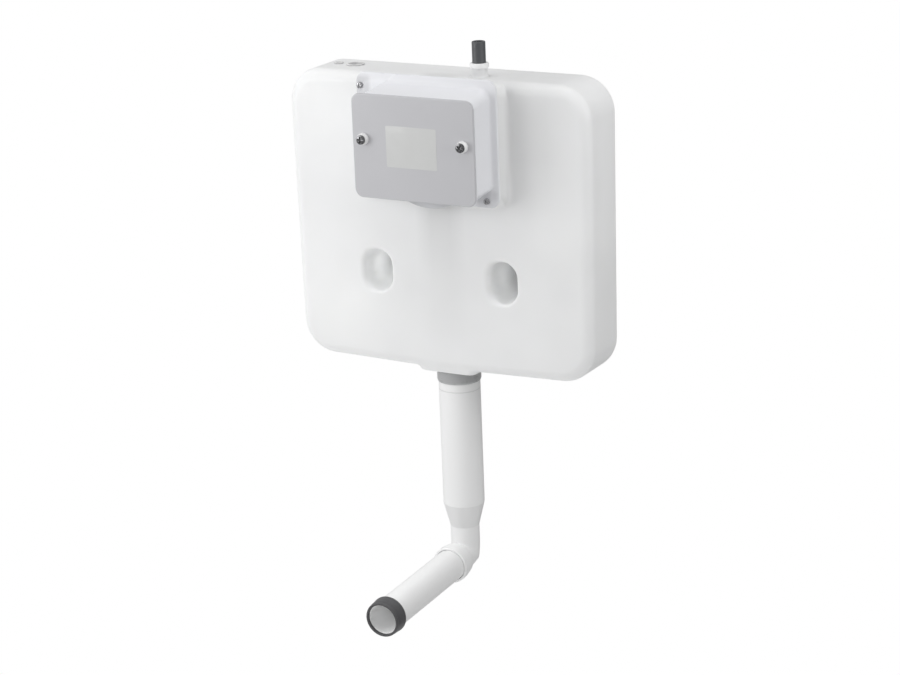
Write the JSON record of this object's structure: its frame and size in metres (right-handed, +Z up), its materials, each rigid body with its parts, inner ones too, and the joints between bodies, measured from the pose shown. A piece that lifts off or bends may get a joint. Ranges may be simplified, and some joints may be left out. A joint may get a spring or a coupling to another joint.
{
  "type": "toilet cistern",
  "caption": "Slimline concealed cistern with top water inlet, front access box, air-operated flush valve and a flush pipe that turns forward to a rubber cone.",
  "frame": {"origin": "middle of the two wall fixings, on the back plane of the tank", "axes": "+Z up, -Y out of the wall towards the pan, +X to the right seen from the front"},
  "size_m": [0.453, 0.281, 0.7643],
  "materials": {
    "tank_plastic": "blow-moulded white polyethylene, soft satin",
    "box_plastic": "moulded white plastic, satin",
    "cover_plastic": "moulded grey plastic, fine grain",
    "pipe_plastic": "smooth white pipe plastic",
    "nut_plastic": "mid grey moulded plastic",
    "inlet_plastic": "dark grey moulded plastic",
    "valve_plastic": "white moulded valve plastic",
    "moving_plastic": "blue moulded valve plastic",
    "float_plastic": "light float plastic",
    "cone_rubber": "dark grey rubber",
    "seal_rubber": "black rubber",
    "red_rubber": "red silicone seal",
    "foam": "dark closed-cell foam",
    "screw_metal": "bright plated steel",
    "pin_metal": "stainless pin"
  },
  "bodies": {
    "cistern": {"tank_shell": "tank_plastic", "housing_gasket": "foam", "access_housing": "box_plastic", "housing_screws": "screw_metal", "inlet_tail": "inlet_plastic", "inlet_nut": "box_plastic", "inlet_washer": "seal_rubber", "fill_valve_body": "valve_plastic", "lever_pin": "pin_metal", "flush_valve_base": "valve_plastic", "outlet_washer": "seal_rubber", "outlet_nut": "nut_plastic", "valve_tower": "valve_plastic", "actuator_body": "valve_plastic", "tail_seal": "seal_rubber", "hose_grommet_small": "seal_rubber", "hose_grommet_large": "seal_rubber"},
    "cover": {"access_cover": "cover_plastic", "cover_bushes": "box_plastic", "cover_screws": "screw_metal"},
    "float_arm": {"float_lever": "valve_plastic", "float_rod": "valve_plastic", "float_cup": "float_plastic"},
    "plunger": {"fill_plunger": "moving_plastic", "plunger_washer": "seal_rubber"},
    "flush_lifter": {"lift_tube": "moving_plastic", "flush_seal": "red_rubber", "lift_float": "float_plastic", "actuator_piston": "seal_rubber"},
    "bend": {"flush_bend": "pipe_plastic", "socket_seal": "seal_rubber"},
    "tube": {"flush_tube": "pipe_plastic", "flush_cone": "cone_rubber"}
  },
  "joints": [
    {"name": "cover_lift_off", "type": "slide", "parent": "cistern", "child": "cover", "axis": [0, -1, 0], "range_m": [0, 0.12]},
    {"name": "float_swing", "type": "hinge", "parent": "cistern", "child": "float_arm", "pos_m": [0.046, -0.0625, 0.1977], "axis": [0, -1, 0], "range_deg": [0, 15]},
    {"name": "plunger_lift", "type": "slide", "parent": "cistern", "child": "plunger", "axis": [0, 0, 1], "range_m": [0, 0.0039]},
    {"name": "flush_lift", "type": "slide", "parent": "cistern", "child": "flush_lifter", "axis": [0, 0, 1], "range_m": [0, 0.022]},
    {"name": "bend_swivel", "type": "hinge", "parent": "cistern", "child": "bend", "pos_m": [0, -0.0435, -0.2], "axis": [0, 0, 1], "range_deg": [-90, 90]},
    {"name": "tube_slide", "type": "slide", "parent": "bend", "child": "tube", "axis": [0, -0.999, -0.0436], "range_m": [0, 0.01]}
  ],
  "couplings": [
    {"joint": "plunger_lift", "follows": "float_swing", "m_per_rad": 0.0145}
  ]
}
